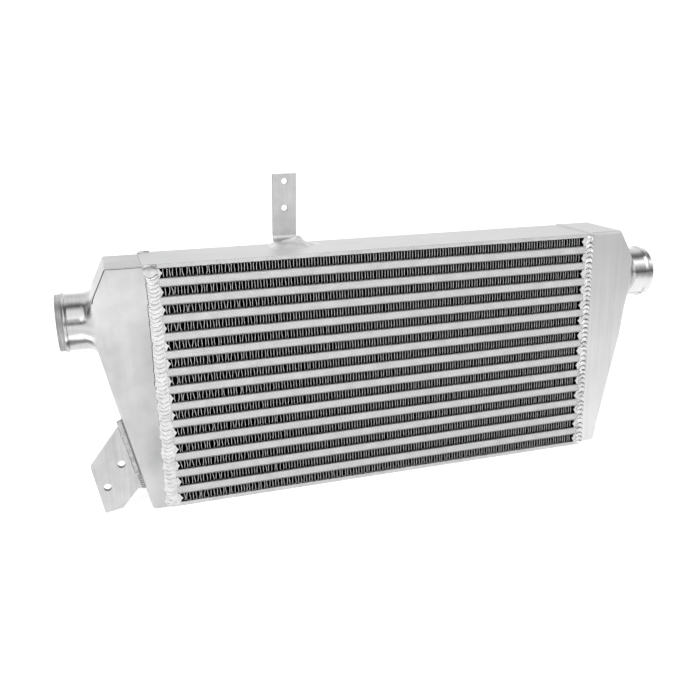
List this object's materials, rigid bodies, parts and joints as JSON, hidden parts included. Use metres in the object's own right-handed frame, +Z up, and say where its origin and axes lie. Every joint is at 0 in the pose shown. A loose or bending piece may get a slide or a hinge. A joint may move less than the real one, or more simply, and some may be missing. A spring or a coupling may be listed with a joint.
{
  "type": "intercooler",
  "caption": "Bar-and-plate air-to-air intercooler: finned aluminium core between welded end tanks with beaded hose spigots, and welded mounting brackets.",
  "frame": {"origin": "centre of the underside of the core's bottom cover plate", "axes": "+X along the core from the left tank to the right one, +Y from front to back, +Z up"},
  "size_m": [0.6044, 0.0738, 0.2976],
  "materials": {
    "core_bar": "raw extruded bar, fine grain",
    "air_fin": "thin folded sheet, as brazed",
    "inner_fin": "thin folded sheet, as brazed",
    "sheet": "clad sheet, as brazed",
    "cover": "satin",
    "tank": "satin, lightly brushed",
    "spigot": "polished",
    "bracket": "satin mill finish",
    "weld": "bright rippled weld metal"
  },
  "bodies": {
    "root": {"air_fin_01": "air_fin", "air_fin_02": "air_fin", "air_fin_03": "air_fin", "air_fin_04": "air_fin", "air_fin_05": "air_fin", "air_fin_06": "air_fin", "air_fin_07": "air_fin", "air_fin_08": "air_fin", "air_fin_09": "air_fin", "air_fin_10": "air_fin", "air_fin_11": "air_fin", "air_fin_12": "air_fin", "air_fin_13": "air_fin", "air_fin_14": "air_fin", "bottom_cover_plate": "cover", "end_bars_left": "core_bar", "end_bars_right": "core_bar", "face_bar_front_01": "core_bar", "face_bar_front_02": "core_bar", "face_bar_front_03": "core_bar", "face_bar_front_04": "core_bar", "face_bar_front_05": "core_bar", "face_bar_front_06": "core_bar", "face_bar_front_07": "core_bar", "face_bar_front_08": "core_bar", "face_bar_front_09": "core_bar", "face_bar_front_10": "core_bar", "face_bar_front_11": "core_bar", "face_bar_front_12": "core_bar", "face_bar_front_13": "core_bar", "face_bars_back": "core_bar", "left_back_weld": "weld", "left_front_weld": "weld", "left_spigot": "spigot", "left_tank_back_plate": "tank", "left_tank_front_plate": "tank", "left_tank_wrap": "tank", "lower_bracket": "bracket", "lower_bracket_weld": "weld", "parting_sheets": "sheet", "right_back_weld": "weld", "right_front_weld": "weld", "right_spigot": "spigot", "right_tank_back_plate": "tank", "right_tank_front_plate": "tank", "right_tank_wrap": "tank", "top_bracket": "bracket", "top_bracket_weld": "weld", "top_cover_plate": "cover", "turbulators": "inner_fin"}
  },
  "joints": []
}
